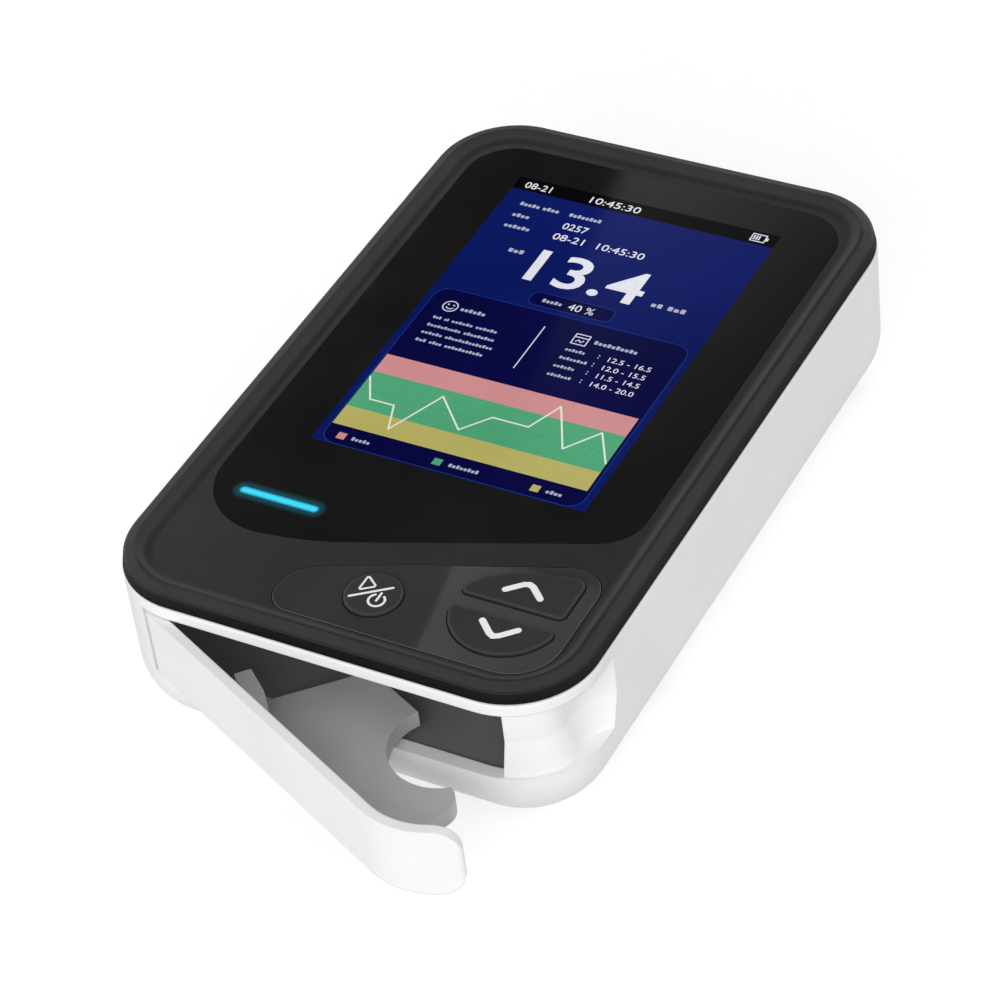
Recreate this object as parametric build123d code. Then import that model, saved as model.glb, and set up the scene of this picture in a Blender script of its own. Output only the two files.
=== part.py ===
"""Handheld blood analyzer with a swinging cuvette door, in millimetres.

The origin is the centre of the underside. The door side faces -Y and the
display faces +Z. The door stands open, as it does for loading a cuvette.
"""
import os
from math import acos, atan2, cos, degrees, radians, sin, sqrt

from build123d import *

# Whole body
BODY_W = 81.4
BODY_L = 129.0
HOUSING_H = 27.8
CORNER_R = 14.0
BOTTOM_R = 10.5
WALL = 2.2
FLOOR_T = 2.2
TOP_EDGE_R = 0.4

# Cover, measured inwards from the outline and up from the housing's edge
SEAM_GAP = 0.3
SEAM_DEPTH = 0.95
GLASS_RISE = 1.6
RIM_RISE = 1.0
CREST_RISE = 0.2
RIM_OUTER = 0.5
RIM_STEP = 0.12
CREST_IN = 2.35
COVE_R = 4.1
COVE_END = 5.2
PLATE_T = 1.8
TONGUE_T = 1.2

# Display window and screen
WINDOW_MARGIN = 6.2
WINDOW_TOP_MARGIN = 6.45
WINDOW_T = 1.0
WINDOW_TOP_R = 8.5
WINDOW_RIGHT_END = 37.9
WINDOW_RIGHT_R = 8.0
WINDOW_BEND = (28.7, 20.3)
WINDOW_BEND_R = 50.0
WINDOW_LEFT_END = 17.4
WINDOW_LEFT_R = 12.5
WINDOW_FIT = 0.05
LCD_SIDE_IN = 13.2
LCD_FRONT_IN = 35.95
LCD_REAR_IN = 8.05
LCD_T = 2.4
LCD_FIT = 0.3

# Status light
LIGHT_IN = 18.9
LIGHT_RISE = 27.05
LIGHT_LENGTH = 14.3
LIGHT_W = 1.6
LIGHT_FLANGE = 1.0

# Keys and their panel, measured from the right side and from the front edge
KEYPAD_CORNERS = [
    (5.65, 5.25, 8.0), (5.65, 32.1, 5.0), (34.7, 21.7, 100.0), (52.8, 14.1, 6.0), (52.8, 5.25, 4.0),
]
KEYPAD_T = 1.2
KEYPAD_FIT = 0.15
KEYPAD_RISE = 0.1
KEYPAD_STEP = 0.8
KEY_GAP = 0.15
KEY_RISE = 0.55
KEY_EDGE_R = 0.45
KEY_FLANGE = 0.5
KEY_FLANGE_T = 0.7
KEY_TRAVEL = 0.35
POWER_AT = (37.7, 13.05)
POWER_R = 4.65
UP_KEY = [(26.4, 18.55, 1.0), (24.1, 22.5, 3.0), (19.3, 25.7, 6.0), (8.2, 28.1, 2.0), (8.2, 18.55, 1.2)]
DOWN_LEFT = 25.8
DOWN_RIGHT = 7.7
DOWN_TOP = 15.75
DOWN_LOW = 7.9
DOWN_CORNER_R = 1.0
SWITCH_SIZE = (6.0, 4.0, 0.9)
SWITCH_R = 1.2

# Front opening, measured in from the sides
OPEN_LEFT_IN = 8.98
OPEN_RIGHT_IN = 10.9
LEDGE_Z = 12.4
LIP_T = 2.05

# Finger scoop in the right front corner
SCOOP_DEPTH = 1.95
SCOOP_SWEEP = 44.5
SCOOP_TURN_R = 5.0
SCOOP_EXIT_R = 9.0
SCOOP_END = 18.2
SCOOP_SLOPE_H = 6.0
SCOOP_SLOPE_IN = 1.5
SCOOP_BACKING = 1.6
SCOOP_BACKING_Z = 8.0

# Hinge
HINGE_IN = 11.1
BARREL_R = 2.0
BOSS_R = 2.2
PIN_R = 0.75
PIN_FIT = 0.05
PIN_ROOT_FIT = 0.02
PIN_DEPTH = 3.0
OPEN_ANGLE = 25.0

# Door
DOOR_T = 1.6
DOOR_INSET = 0.05
DOOR_LIFT = 0.1
DOOR_GAP = 0.2
DOOR_SCOOP_GAP = 0.25
PULL_LENGTH = 4.55
PULL_LOW_R = 4.6
PULL_TOP_R = 4.3
DOOR_CORNER_R = 1.5

# Cuvette tray on the door; sideways from the hinge or from the opening's right edge
TRAY_Z = 13.2
TRAY_T = 3.0
TRAY_FROM_HINGE = 17.7
TRAY_SLANT = 8.0
TRAY_BACK = 22.85
TRAY_FROM_RIGHT = 2.2
TRAY_LOBE = 16.9
TRAY_CORNER_R = 1.2
TRAY_EDGE_R = 0.3
LOBE_R = 3.5
NOTCH_FROM_RIGHT = 13.1
NOTCH_IN = 21.35
NOTCH_R = 8.65
FLANGE_T = 1.8
FLANGE_LEFT_IN = 3.9
FLANGE_RIGHT_IN = 2.6
FLANGE_H = 8.0
GUIDE_H = 4.2
GUIDE = [
    (-2.2, 4.8, 0.2), (-1.3, 7.4, 0.2), (4.1, 6.1, 3.0), (9.5, 3.6, 0.2), (7.9, 2.6, 0.2), (1.7, 3.9, 2.0),
]
TRAY_SCREW_IN = (11.9, 10.6)
TRAY_SCREW_RISE = 4.9
TRAY_BOSS_R = 1.35
TRAY_BOSS_FIT = 0.05
TRAY_SCREW_R = 0.8
TRAY_SCREW_HEAD_R = 1.8
TRAY_SCREW_HEAD_T = 1.0
TRAY_SCREW_SKIN = 0.6
MAGNET_R = 2.0
MAGNET_T = 1.5
MAGNET_FROM_RIGHT = 6.8
MAGNET_IN = 8.0
MAGNET_FIT = 0.05

# Dark inner box of the measuring bay
LINER_T = 1.0
LINER_LEFT_IN = 7.7
LINER_RIGHT_OUT = 0.2
LINER_BACK = 32.0
LINER_FLOOR_DROP = 0.7
LINER_ROOF_DROP = 1.55
LINER_FIT = 0.1
LINER_POST_R = 2.6
LINER_POSTS = ((-20.0, 8.0), (8.0, 8.0))
LINER_SCREW_POSTS = ((-26.0, 28.5), (24.0, 28.5))

# Optics
TURRET_R = 6.3
TURRET_DROP = 1.0
TURRET_STUB_R = 3.4
TURRET_STUB_H = 2.0
EMITTER_R = 1.5
EMITTER_L = 4.3
LENS_R = 2.4
LENS_T = 0.8
LIGHT_BORE_R = 1.2
DETECTOR_R = 7.0
DETECTOR_LIFT = 1.4
DETECTOR_WALL = 1.3
DETECTOR_FLOOR_T = 1.2
SENSOR_BOARD_T = 1.0
SENSOR_W = 4.0
SENSOR_T = 1.2

# Boards and what lies on them
BUTTON_BOARD_T = 0.8
BOARD_T = 1.6
BOARD_DROP = 5.3
BOARD_IN = 9.7
BOARD_FRONT_IN = 35.5
BOARD_REAR_GAP = 6.0
BOARD_POST_IN = 4.0
BOARD_POST_R = 2.2
BOARD_CORNER_R = 2.0
CHIP_T = 1.0
CHIPS = [(-12.0, 23.0, 10.0), (8.0, 29.0, 7.0), (-4.0, 52.0, 6.0), (12.0, 44.0, 5.0)]
BATTERY_IN = 18.7
BATTERY_L = 62.0
BATTERY_H = 11.0
BATTERY_FROM_REAR = 51.5
BATTERY_EDGE_R = 3.0
BUZZER_R = 5.0
BUZZER_H = 4.0
BUZZER_X = 16.0
BUZZER_FROM_REAR = 14.5
USB_W = 8.9
USB_H = 3.2
USB_L = 7.4
USB_SHELL = 0.3
USB_R = 1.2
USB_GAP = 0.3
USB_X = -8.0
FLEX_W = 18.0
FLEX_T = 0.2
FLEX_REACH = 3.0

# Feet and screws
FOOT_R = 4.0
FOOT_H = 1.5
FOOT_PROUD = 0.5
FOOT_X = 24.0
FOOT_FROM_END = 17.5
FOOT_FIT = 0.1
TOWER_R = 3.4
TOWER_TOP = 14.0
TOWER_IN = 5.1
TOWER_FROM_FRONT = 38.0
TOWER_FROM_REAR = 14.5
COVER_POST_R = 2.6
SCREW_R = 1.2
SCREW_HEAD_R = 2.0
SCREW_HEAD_T = 1.6
SCREW_BITE = 7.0
SCREW_SEAT_T = 2.0
HEAD_FIT = 0.3
THREAD_FIT = 0.02
SHANK_FIT = 0.1
SMALL_SCREW_R = 0.9
SMALL_HEAD_R = 1.8
SMALL_HEAD_T = 1.2
SMALL_SCREW_BITE = 5.0

# Places worked out from the sizes above
SIDE = BODY_W / 2
FRONT = -BODY_L / 2
REAR = BODY_L / 2
CORNER_X = SIDE - CORNER_R
CORNER_Y = FRONT + CORNER_R
OPEN_LEFT = SIDE - OPEN_LEFT_IN
OPEN_RIGHT = SIDE - OPEN_RIGHT_IN
LIP_Z = HOUSING_H - LIP_T
GLASS_Z = HOUSING_H + GLASS_RISE
PLATE_Z = GLASS_Z - PLATE_T
PANEL_TOP = GLASS_Z + KEYPAD_RISE
PANEL_Z = PANEL_TOP - KEYPAD_T
KEY_TOP = PANEL_TOP + KEY_RISE
LCD_FRONT = FRONT + LCD_FRONT_IN
LIGHT_X = -SIDE + LIGHT_IN
HINGE_X = -SIDE + HINGE_IN
HINGE_Y = FRONT + DOOR_INSET + BARREL_R
DOOR_FACE = FRONT + DOOR_INSET
DOOR_BACK = DOOR_FACE + DOOR_T
DOOR_Z = LEDGE_Z + DOOR_LIFT
DOOR_TOP = LIP_Z - DOOR_GAP
SCOOP_R = CORNER_R - SCOOP_DEPTH
TRAY_LEFT = HINGE_X + TRAY_FROM_HINGE
TRAY_RIGHT = OPEN_RIGHT - TRAY_FROM_RIGHT
TRAY_TOP = TRAY_Z + TRAY_T
NOTCH_X = OPEN_RIGHT - NOTCH_FROM_RIGHT
MAGNET_X = OPEN_RIGHT - MAGNET_FROM_RIGHT
TURRET_TOP = TRAY_TOP - TURRET_DROP
DETECTOR_Z = TRAY_TOP + DETECTOR_LIFT
LINER_FLOOR = LEDGE_Z - LINER_FLOOR_DROP
LINER_ROOF_Z = LIP_Z - LINER_ROOF_DROP
LINER_LEFT = SIDE - LINER_LEFT_IN
LINER_RIGHT = OPEN_RIGHT + LINER_RIGHT_OUT
LINER_TOP = LINER_ROOF_Z + LINER_T
OPTICS_Y = FRONT + NOTCH_IN
BUTTON_BOARD_Z = LINER_TOP
SWITCH_Z = BUTTON_BOARD_Z + BUTTON_BOARD_T
KEY_FLANGE_TOP = PANEL_Z - 0.1
KEY_BASE = KEY_FLANGE_TOP - KEY_FLANGE_T
BOARD_Z = HOUSING_H - BOARD_DROP
BOARD_HALF_W = SIDE - BOARD_IN
BOARD_FRONT = FRONT + BOARD_FRONT_IN
BOARD_REAR = REAR - BOARD_REAR_GAP
BOARD_POST_X = BOARD_HALF_W - BOARD_POST_IN
BUZZER_AT = (BUZZER_X, REAR - BUZZER_FROM_REAR)
FOOT_Y = REAR - FOOT_FROM_END
TOWER_X = SIDE - TOWER_IN
TOWER_Y = (FRONT + TOWER_FROM_FRONT, REAR - TOWER_FROM_REAR)


def block(x0, x1, y0, y1, z0, z1):
    """A box between six planes."""
    centre = Pos((x0 + x1) / 2, (y0 + y1) / 2, (z0 + z1) / 2)
    return centre * Box(x1 - x0, y1 - y0, z1 - z0)


def rod(x, y, radius, z0, z1):
    """An upright cylinder."""
    return Pos(x, y, (z0 + z1) / 2) * Cylinder(radius, z1 - z0)


def outline(inset):
    """The body's outline in plan, drawn in on all sides."""
    return RectangleRounded(BODY_W - 2 * inset, BODY_L - 2 * inset, CORNER_R - inset)


def slab(face, z0, z1):
    """A flat face raised to a solid between two heights."""
    return Pos(0, 0, z0) * extrude(face, z1 - z0)


def soft_face(corners):
    """A face from corners given as x, y and a rounding radius."""
    points = [(x, y) for x, y, _ in corners]
    radii = [radius for _, _, radius in corners]
    return make_face(FilletPolyline(*points, radius=radii, close=True))


def grown(corners, grow):
    """The corners of a bulging outline, either way round, with every side moved out."""
    points = [Vector(x, y) for x, y, _ in corners]
    count = len(corners)
    area = sum(points[i - 1].X * points[i].Y - points[i].X * points[i - 1].Y for i in range(count))
    turn = 1 if area > 0 else -1
    moved = []
    for i in range(count):
        before = (points[i] - points[i - 1]).normalized()
        after = (points[(i + 1) % count] - points[i]).normalized()
        outward = Vector(before.Y + after.Y, -before.X - after.X) * turn
        corner = points[i] + outward * (grow / (1 + before.dot(after)))
        moved.append((corner.X, corner.Y, corners[i][2] + grow))
    return moved


def from_right(corners):
    """Corners measured from the right side and the front, as places on the body."""
    return [(SIDE - inward, FRONT + along, radius) for inward, along, radius in corners]


def edges_at(shape, z, tolerance=0.01):
    """The edges of a shape that lie level at one height."""
    level = shape.edges().filter_by_position(Axis.Z, z - tolerance, z + tolerance)
    return level


def polar(centre, radius, angle):
    """A point on a circle, with its angle in degrees."""
    return (centre[0] + radius * cos(radians(angle)), centre[1] + radius * sin(radians(angle)))


def arc(centre, radius, start, end):
    """An arc between two angles, either way round."""
    middle = (start + end) / 2
    return ThreePointArc(
        polar(centre, radius, start), polar(centre, radius, middle), polar(centre, radius, end)
    )


def scoop_face(grow):
    """The scoop in plan, from its deepest line outwards; grow makes it shallower."""
    corner = (CORNER_X, CORNER_Y)
    last = SCOOP_SWEEP - 90
    deep = SCOOP_R + grow
    turn = polar(corner, SCOOP_R - SCOOP_TURN_R, last)
    wall_x = turn[0] + SCOOP_TURN_R + grow
    exit_angle = degrees(acos(1 - (SIDE - turn[0] - SCOOP_TURN_R) / SCOOP_EXIT_R))
    exit_x = turn[0] + SCOOP_TURN_R + SCOOP_EXIT_R
    exit_y = FRONT + SCOOP_END - SCOOP_EXIT_R * sin(radians(exit_angle))
    exit_end = 180 - exit_angle - 6
    first = degrees(acos((OPEN_RIGHT - SCOOP_SLOPE_IN - 1 - CORNER_X) / deep))
    inner = arc(corner, deep, -first, last)
    bend = arc(turn, SCOOP_TURN_R + grow, last, 0)
    leave = arc((exit_x, exit_y), SCOOP_EXIT_R - grow, 180, exit_end)
    straight = Line((wall_x, turn[1]), (wall_x, exit_y))
    out = leave @ 1
    start = inner @ 0
    far_x = SIDE + 12
    far_y = FRONT - 8
    frame = Polyline(out, (far_x, out.Y), (far_x, far_y), (start.X, far_y), start)
    return make_face(inner + bend + straight + leave + frame)


def scoop_space(grow, floor, top):
    """The open space of the scoop: upright above, sloping outwards at its foot."""
    face = scoop_face(grow)
    slope_top = LEDGE_Z + SCOOP_SLOPE_H
    slope = degrees(atan2(SCOOP_SLOPE_IN, SCOOP_SLOPE_H))
    upper = slab(face, slope_top, top)
    lower = extrude(Pos(0, 0, slope_top) * face, slope_top - floor, dir=(0, 0, -1), taper=slope)
    return upper + lower


def hinge_bosses():
    """The two bosses of the hinge, below the ledge and behind the lip."""
    lower = rod(HINGE_X, HINGE_Y, BOSS_R, FLOOR_T, LEDGE_Z)
    return lower + rod(HINGE_X, HINGE_Y, BOSS_R, LIP_Z, HOUSING_H)


def pin_bottom():
    """The foot of the hinge pin in its blind boss."""
    return LEDGE_Z - PIN_DEPTH


def usb_z():
    """The underside of the charging socket, hung below the main board."""
    return BOARD_Z - USB_H


def lower_housing():
    """The white shell with its front opening, finger scoop, bosses and towers."""
    body = slab(outline(0), 0, HOUSING_H)
    body = fillet(edges_at(body, 0), BOTTOM_R)
    body = fillet(edges_at(body, HOUSING_H), TOP_EDGE_R)
    hollow = slab(outline(WALL), FLOOR_T, HOUSING_H + 1)
    hollow = fillet(edges_at(hollow, FLOOR_T), BOTTOM_R - WALL)
    backing = slab(scoop_face(-SCOOP_BACKING), SCOOP_BACKING_Z, PLATE_Z - 0.05)
    backing &= block(OPEN_RIGHT, SIDE, FRONT, FRONT + SCOOP_END + 2, 0, HOUSING_H) & body
    shell = body - hollow + backing
    for x in (-TOWER_X, TOWER_X):
        for y in TOWER_Y:
            shell += rod(x, y, TOWER_R, FLOOR_T, TOWER_TOP) & body
    for x in (-BOARD_POST_X, BOARD_POST_X):
        for y in (BOARD_FRONT + BOARD_POST_IN, BOARD_REAR - BOARD_POST_IN):
            shell += rod(x, y, BOARD_POST_R, FLOOR_T - 0.2, BOARD_Z)
    for x, inward in LINER_POSTS + LINER_SCREW_POSTS:
        shell += rod(x, FRONT + inward, LINER_POST_R, FLOOR_T - 0.2, LINER_FLOOR - LINER_T)
    shell -= block(-OPEN_LEFT, OPEN_RIGHT, FRONT - 1, FRONT + WALL + 4, LEDGE_Z, LIP_Z)
    shell -= scoop_space(0, LEDGE_Z, LIP_Z) & block(0, SIDE + 9, FRONT - 5, 0, LEDGE_Z, LIP_Z)
    shell += hinge_bosses() & body
    shell -= rod(HINGE_X, HINGE_Y, PIN_R + PIN_ROOT_FIT, pin_bottom(), HOUSING_H + 1)
    for x in (-TOWER_X, TOWER_X):
        for y in TOWER_Y:
            shell -= rod(x, y, SCREW_HEAD_R + HEAD_FIT, -1, TOWER_TOP - SCREW_SEAT_T)
            shell -= rod(x, y, SCREW_R + SHANK_FIT, 0, TOWER_TOP + 1)
    for x, y in board_screw_places():
        shell -= rod(x, y, SMALL_SCREW_R + THREAD_FIT, BOARD_Z - SMALL_SCREW_BITE, BOARD_Z + 1)
    for x, y in bay_screw_places():
        top = LINER_FLOOR - LINER_T
        shell -= rod(x, y, SMALL_SCREW_R + THREAD_FIT, top - SMALL_SCREW_BITE, top + 1)
    for x in (-FOOT_X, FOOT_X):
        for y in (-FOOT_Y, FOOT_Y):
            shell -= rod(x, y, FOOT_R + FOOT_FIT, -1, FOOT_H - FOOT_PROUD)
    slot = Pos(USB_X, REAR, usb_z() + USB_H / 2) * Rot(90, 0, 0)
    opening = RectangleRounded(USB_W + 2 * USB_GAP, USB_H + 2 * USB_GAP, USB_R + USB_GAP)
    shell -= slot * extrude(opening, WALL * 2, both=True)
    return shell


def board_screw_places():
    """Where the main board is screwed down."""
    rows = (BOARD_FRONT + BOARD_POST_IN, BOARD_REAR - BOARD_POST_IN)
    return [(x, y) for x in (-BOARD_POST_X, BOARD_POST_X) for y in rows]


def bay_screw_places():
    """Where the bay liner is screwed down, at its back."""
    return [(x, FRONT + inward) for x, inward in LINER_SCREW_POSTS]


def cover_profile():
    """The cover's rim in section: x is the way out from the body's centre."""
    foot = HOUSING_H + SEAM_GAP
    rim = GLASS_Z + RIM_RISE
    crest = (SIDE - CREST_IN, GLASS_Z + RIM_RISE + CREST_RISE)
    cove_mid = SIDE - (CREST_IN + COVE_END) / 2
    centre_z = GLASS_Z + COVE_R
    sag = COVE_END - (CREST_IN + COVE_END) / 2
    rise_mid = centre_z - sqrt(COVE_R ** 2 - sag ** 2)
    inner = SIDE - COVE_END - 1.0
    tongue_out = SIDE - WALL - 0.15
    tongue_z = LIP_Z + 0.05
    outer = Polyline(
        (inner, GLASS_Z), (inner, PLATE_Z), (tongue_out - TONGUE_T, PLATE_Z),
        (tongue_out - TONGUE_T, tongue_z), (tongue_out, tongue_z), (tongue_out, HOUSING_H),
        (SIDE - SEAM_DEPTH, HOUSING_H), (SIDE - SEAM_DEPTH, foot), (SIDE - 0.15, foot),
        (SIDE - RIM_OUTER, GLASS_Z + 0.45), (SIDE - RIM_OUTER - RIM_STEP, GLASS_Z + 0.5),
    )
    shoulder = Spline(
        (SIDE - RIM_OUTER - RIM_STEP, GLASS_Z + 0.5), (SIDE - 1.2, rim - 0.03), crest,
        tangents=[(-0.25, 1.0), (-1.0, 0.25)],
    )
    cove = ThreePointArc(crest, (cove_mid, rise_mid), (SIDE - COVE_END, GLASS_Z))
    flat = Line((SIDE - COVE_END, GLASS_Z), (inner, GLASS_Z))
    return outer + shoulder + cove + flat


def rim_ring():
    """The rim swept once round the body's outline."""
    section = make_face(Plane.XZ * cover_profile())
    right = Line((SIDE, 0), (SIDE, REAR - CORNER_R))
    path = right
    path += RadiusArc((SIDE, REAR - CORNER_R), (CORNER_X, REAR), -CORNER_R)
    path += Line((CORNER_X, REAR), (-CORNER_X, REAR))
    path += RadiusArc((-CORNER_X, REAR), (-SIDE, REAR - CORNER_R), -CORNER_R)
    path += Line((-SIDE, REAR - CORNER_R), (-SIDE, CORNER_Y))
    path += RadiusArc((-SIDE, CORNER_Y), (-CORNER_X, FRONT), -CORNER_R)
    path += Line((-CORNER_X, FRONT), (CORNER_X, FRONT))
    path += RadiusArc((CORNER_X, FRONT), (SIDE, CORNER_Y), -CORNER_R)
    path += Line((SIDE, CORNER_Y), (SIDE, 0))
    return sweep(section, path=path)


def window_face(grow=0.0):
    """The display window in plan, with its curved lower edge."""
    edge = SIDE - WINDOW_MARGIN
    top = REAR - WINDOW_TOP_MARGIN
    corners = [
        (edge, FRONT + WINDOW_RIGHT_END, WINDOW_RIGHT_R),
        (-SIDE + WINDOW_BEND[0], FRONT + WINDOW_BEND[1], WINDOW_BEND_R),
        (-edge, FRONT + WINDOW_LEFT_END, WINDOW_LEFT_R),
        (-edge, top, WINDOW_TOP_R),
        (edge, top, WINDOW_TOP_R),
    ]
    return soft_face(grown(corners, grow))


def keypad_face(grow=0.0):
    """The keypad panel in plan."""
    return soft_face(grown(from_right(KEYPAD_CORNERS), grow))


def power_face(grow=0.0):
    """The round power key in plan."""
    return Pos(SIDE - POWER_AT[0], FRONT + POWER_AT[1]) * Circle(POWER_R + grow)


def up_face(grow=0.0):
    """The upper arrow key in plan."""
    return soft_face(grown(from_right(UP_KEY), grow))


def down_face(grow=0.0):
    """The lower arrow key in plan: a flat top over a near half circle."""
    top = FRONT + DOWN_TOP
    left = (SIDE - DOWN_LEFT, top)
    right = (SIDE - DOWN_RIGHT, top)
    low = (SIDE - (DOWN_LEFT + DOWN_RIGHT) / 2, FRONT + DOWN_LOW)
    face = make_face(Line(left, right) + ThreePointArc(right, low, left))
    face = fillet(face.vertices(), DOWN_CORNER_R)
    return offset(face, grow) if grow else face


def light_face(grow=0.0):
    """The status light in plan."""
    bar = SlotOverall(LIGHT_LENGTH + 2 * grow, LIGHT_W + 2 * grow)
    return Pos(LIGHT_X, FRONT + LIGHT_RISE) * bar


def lcd_block(grow, z0, z1):
    """The display module's space."""
    half = SIDE - LCD_SIDE_IN + grow
    return block(-half, half, LCD_FRONT - grow, REAR - LCD_REAR_IN + grow, z0, z1)


def top_cover():
    """The black cover: rim, plate, seats for the window and the keys, screw posts."""
    cover = rim_ring() + slab(outline(COVE_END + 0.5), PLATE_Z, GLASS_Z)
    cover -= slab(window_face(WINDOW_FIT), GLASS_Z - WINDOW_T, GLASS_Z + 1)
    cover -= slab(keypad_face(KEYPAD_FIT), PANEL_Z, GLASS_Z + 1)
    cover -= slab(keypad_face(-KEYPAD_STEP), PLATE_Z - 1, GLASS_Z)
    cover -= lcd_block(LCD_FIT, PLATE_Z - 1, GLASS_Z)
    cover -= slab(light_face(0.05), PLATE_Z - 1, GLASS_Z)
    for x in (-TOWER_X, TOWER_X):
        for y in TOWER_Y:
            cover += rod(x, y, COVER_POST_R, TOWER_TOP, PLATE_Z + 0.2)
            cover -= rod(x, y, SCREW_R + THREAD_FIT, TOWER_TOP, TOWER_TOP + SCREW_BITE + 0.5)
    cover -= rod(HINGE_X, HINGE_Y, BOSS_R + 0.3, LIP_Z - 1, HOUSING_H)
    cover -= block(OPEN_RIGHT - 2, SIDE, FRONT, FRONT + SCOOP_END + 3, LIP_Z - 1, PLATE_Z)
    return cover


def display_window():
    """The black glass lens with its slot for the status light."""
    lens = slab(window_face(), GLASS_Z - WINDOW_T, GLASS_Z)
    return lens - slab(light_face(0.05), GLASS_Z - WINDOW_T - 1, GLASS_Z + 1)


def lcd_module():
    """The display: a metal-backed panel right below the window."""
    top = GLASS_Z - WINDOW_T - 0.1
    panel = lcd_block(0, top - LCD_T, top)
    return fillet(panel.edges().filter_by(Axis.Z), 1.0)


def led_light_bar():
    """The light pipe: a slot-shaped bar on a flange glued below the cover."""
    bar = slab(light_face(), PLATE_Z - 0.7, GLASS_Z - 0.02)
    return bar + slab(light_face(LIGHT_FLANGE), PLATE_Z - 0.7, PLATE_Z)


def keypad_panel():
    """The panel round the keys."""
    panel = slab(keypad_face(), PANEL_Z, PANEL_TOP)
    panel = fillet(edges_at(panel, PANEL_TOP), 0.15)
    for key in (power_face, up_face, down_face):
        panel -= slab(key(KEY_GAP), PANEL_Z - 1, PANEL_TOP + 1)
    return panel


def key_cap(key):
    """One key: a soft-edged cap on a flange that the panel holds down."""
    cap = slab(key(), KEY_BASE, KEY_TOP)
    cap = fillet(edges_at(cap, KEY_TOP), KEY_EDGE_R)
    return cap + slab(key(KEY_FLANGE), KEY_BASE, KEY_FLANGE_TOP)


def key_places():
    """The middle of each key, over its switch."""
    arrow_x = SIDE - (DOWN_LEFT + DOWN_RIGHT) / 2
    down_y = FRONT + (DOWN_TOP + DOWN_LOW) / 2
    up_y = FRONT + (UP_KEY[0][1] + UP_KEY[3][1]) / 2
    return [(SIDE - POWER_AT[0], FRONT + POWER_AT[1]), (arrow_x, up_y), (arrow_x, down_y)]


def tact_switches():
    """Three dome switches; each plunger ends where its key's travel does."""
    switches = []
    for x, y in key_places():
        length, width, height = SWITCH_SIZE
        body = Pos(x, y, SWITCH_Z + height / 2) * Box(length, width, height)
        switches.append(body + rod(x, y, SWITCH_R, SWITCH_Z, KEY_BASE - KEY_TRAVEL))
    return Compound(children=switches)


def button_board():
    """The small board under the keys and the status light."""
    edge = LINER_RIGHT
    board = block(-edge, edge, FRONT + 6.5, FRONT + LINER_BACK - 1, BUTTON_BOARD_Z, SWITCH_Z)
    return fillet(board.edges().filter_by(Axis.Z), 3.0)


def status_leds():
    """Three light chips below the light pipe."""
    chips = []
    for step in (-1, 0, 1):
        x = LIGHT_X + step * LIGHT_LENGTH / 3
        y = FRONT + LIGHT_RISE
        chips.append(block(x - 0.8, x + 0.8, y - 0.4, y + 0.4, SWITCH_Z, PLATE_Z - 0.9))
    return Compound(children=chips)


def bay_liner():
    """The dark inner box: floor, side walls, back wall and roof, open in front."""
    base = LINER_FLOOR - LINER_T
    back = FRONT + LINER_BACK
    outer = slab(outline(WALL + LINER_FIT), base, LINER_TOP)
    outer &= block(-LINER_LEFT - LINER_T, LINER_RIGHT + LINER_T, FRONT, back, base, LINER_TOP)
    liner = outer - block(-LINER_LEFT, LINER_RIGHT, FRONT - 1, back - LINER_T, LINER_FLOOR, LINER_ROOF_Z)
    scoop_back = slab(scoop_face(-SCOOP_BACKING - LINER_FIT), base, LINER_TOP)
    liner -= scoop_back & block(OPEN_RIGHT - LINER_FIT, SIDE, FRONT, back, base, LINER_TOP)
    liner -= rod(HINGE_X, HINGE_Y, BOSS_R + 0.3, base - 1, LINER_TOP + 1)
    magnet = (MAGNET_X, FRONT + MAGNET_IN)
    liner += rod(*magnet, MAGNET_R + 1.2, LINER_FLOOR - MAGNET_T - 1.0, LINER_FLOOR)
    liner -= rod(*magnet, MAGNET_R + MAGNET_FIT, 0, LINER_FLOOR - 0.2)
    liner -= rod(NOTCH_X, OPTICS_Y, TURRET_STUB_R + 0.05, base - 1, LINER_FLOOR + 1)
    for x, y in bay_screw_places():
        liner -= rod(x, y, SMALL_SCREW_R + SHANK_FIT, base - 1, LINER_FLOOR + 1)
    return liner


def catch_magnet():
    """The fixed magnet below the bay floor."""
    top = LINER_FLOOR - 0.2
    return rod(MAGNET_X, FRONT + MAGNET_IN, MAGNET_R, top - MAGNET_T, top)


def optics_base():
    """The turret that the tray's notch clears: it holds the emitter and its lens."""
    stub = rod(NOTCH_X, OPTICS_Y, TURRET_STUB_R, LINER_FLOOR - TURRET_STUB_H, LINER_FLOOR)
    turret = rod(NOTCH_X, OPTICS_Y, TURRET_R, LINER_FLOOR, TURRET_TOP)
    turret = chamfer(edges_at(turret, TURRET_TOP), 0.6) + stub
    turret -= rod(NOTCH_X, OPTICS_Y, LIGHT_BORE_R, LINER_FLOOR - 3, TURRET_TOP + 1)
    turret -= rod(NOTCH_X, OPTICS_Y, LENS_R + 0.05, TURRET_TOP - LENS_T - 0.1, TURRET_TOP + 1)
    emitter_top = LINER_FLOOR - TURRET_STUB_H + EMITTER_L
    return turret - rod(NOTCH_X, OPTICS_Y, EMITTER_R + 0.05, 0, emitter_top)


def emitter_led():
    """The light source in the turret's foot, with its round tip upwards."""
    foot = LINER_FLOOR - TURRET_STUB_H
    top = foot + EMITTER_L - 0.1
    led = rod(NOTCH_X, OPTICS_Y, EMITTER_R, foot, top)
    return fillet(edges_at(led, top), EMITTER_R * 0.8) + rod(NOTCH_X, OPTICS_Y, 2.2, foot - 0.8, foot)


def optics_lens():
    """The lens in the turret's top, slightly domed."""
    disc = rod(NOTCH_X, OPTICS_Y, LENS_R, TURRET_TOP - LENS_T - 0.1, TURRET_TOP - 0.1)
    return fillet(edges_at(disc, TURRET_TOP - 0.1), 0.4)


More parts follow.
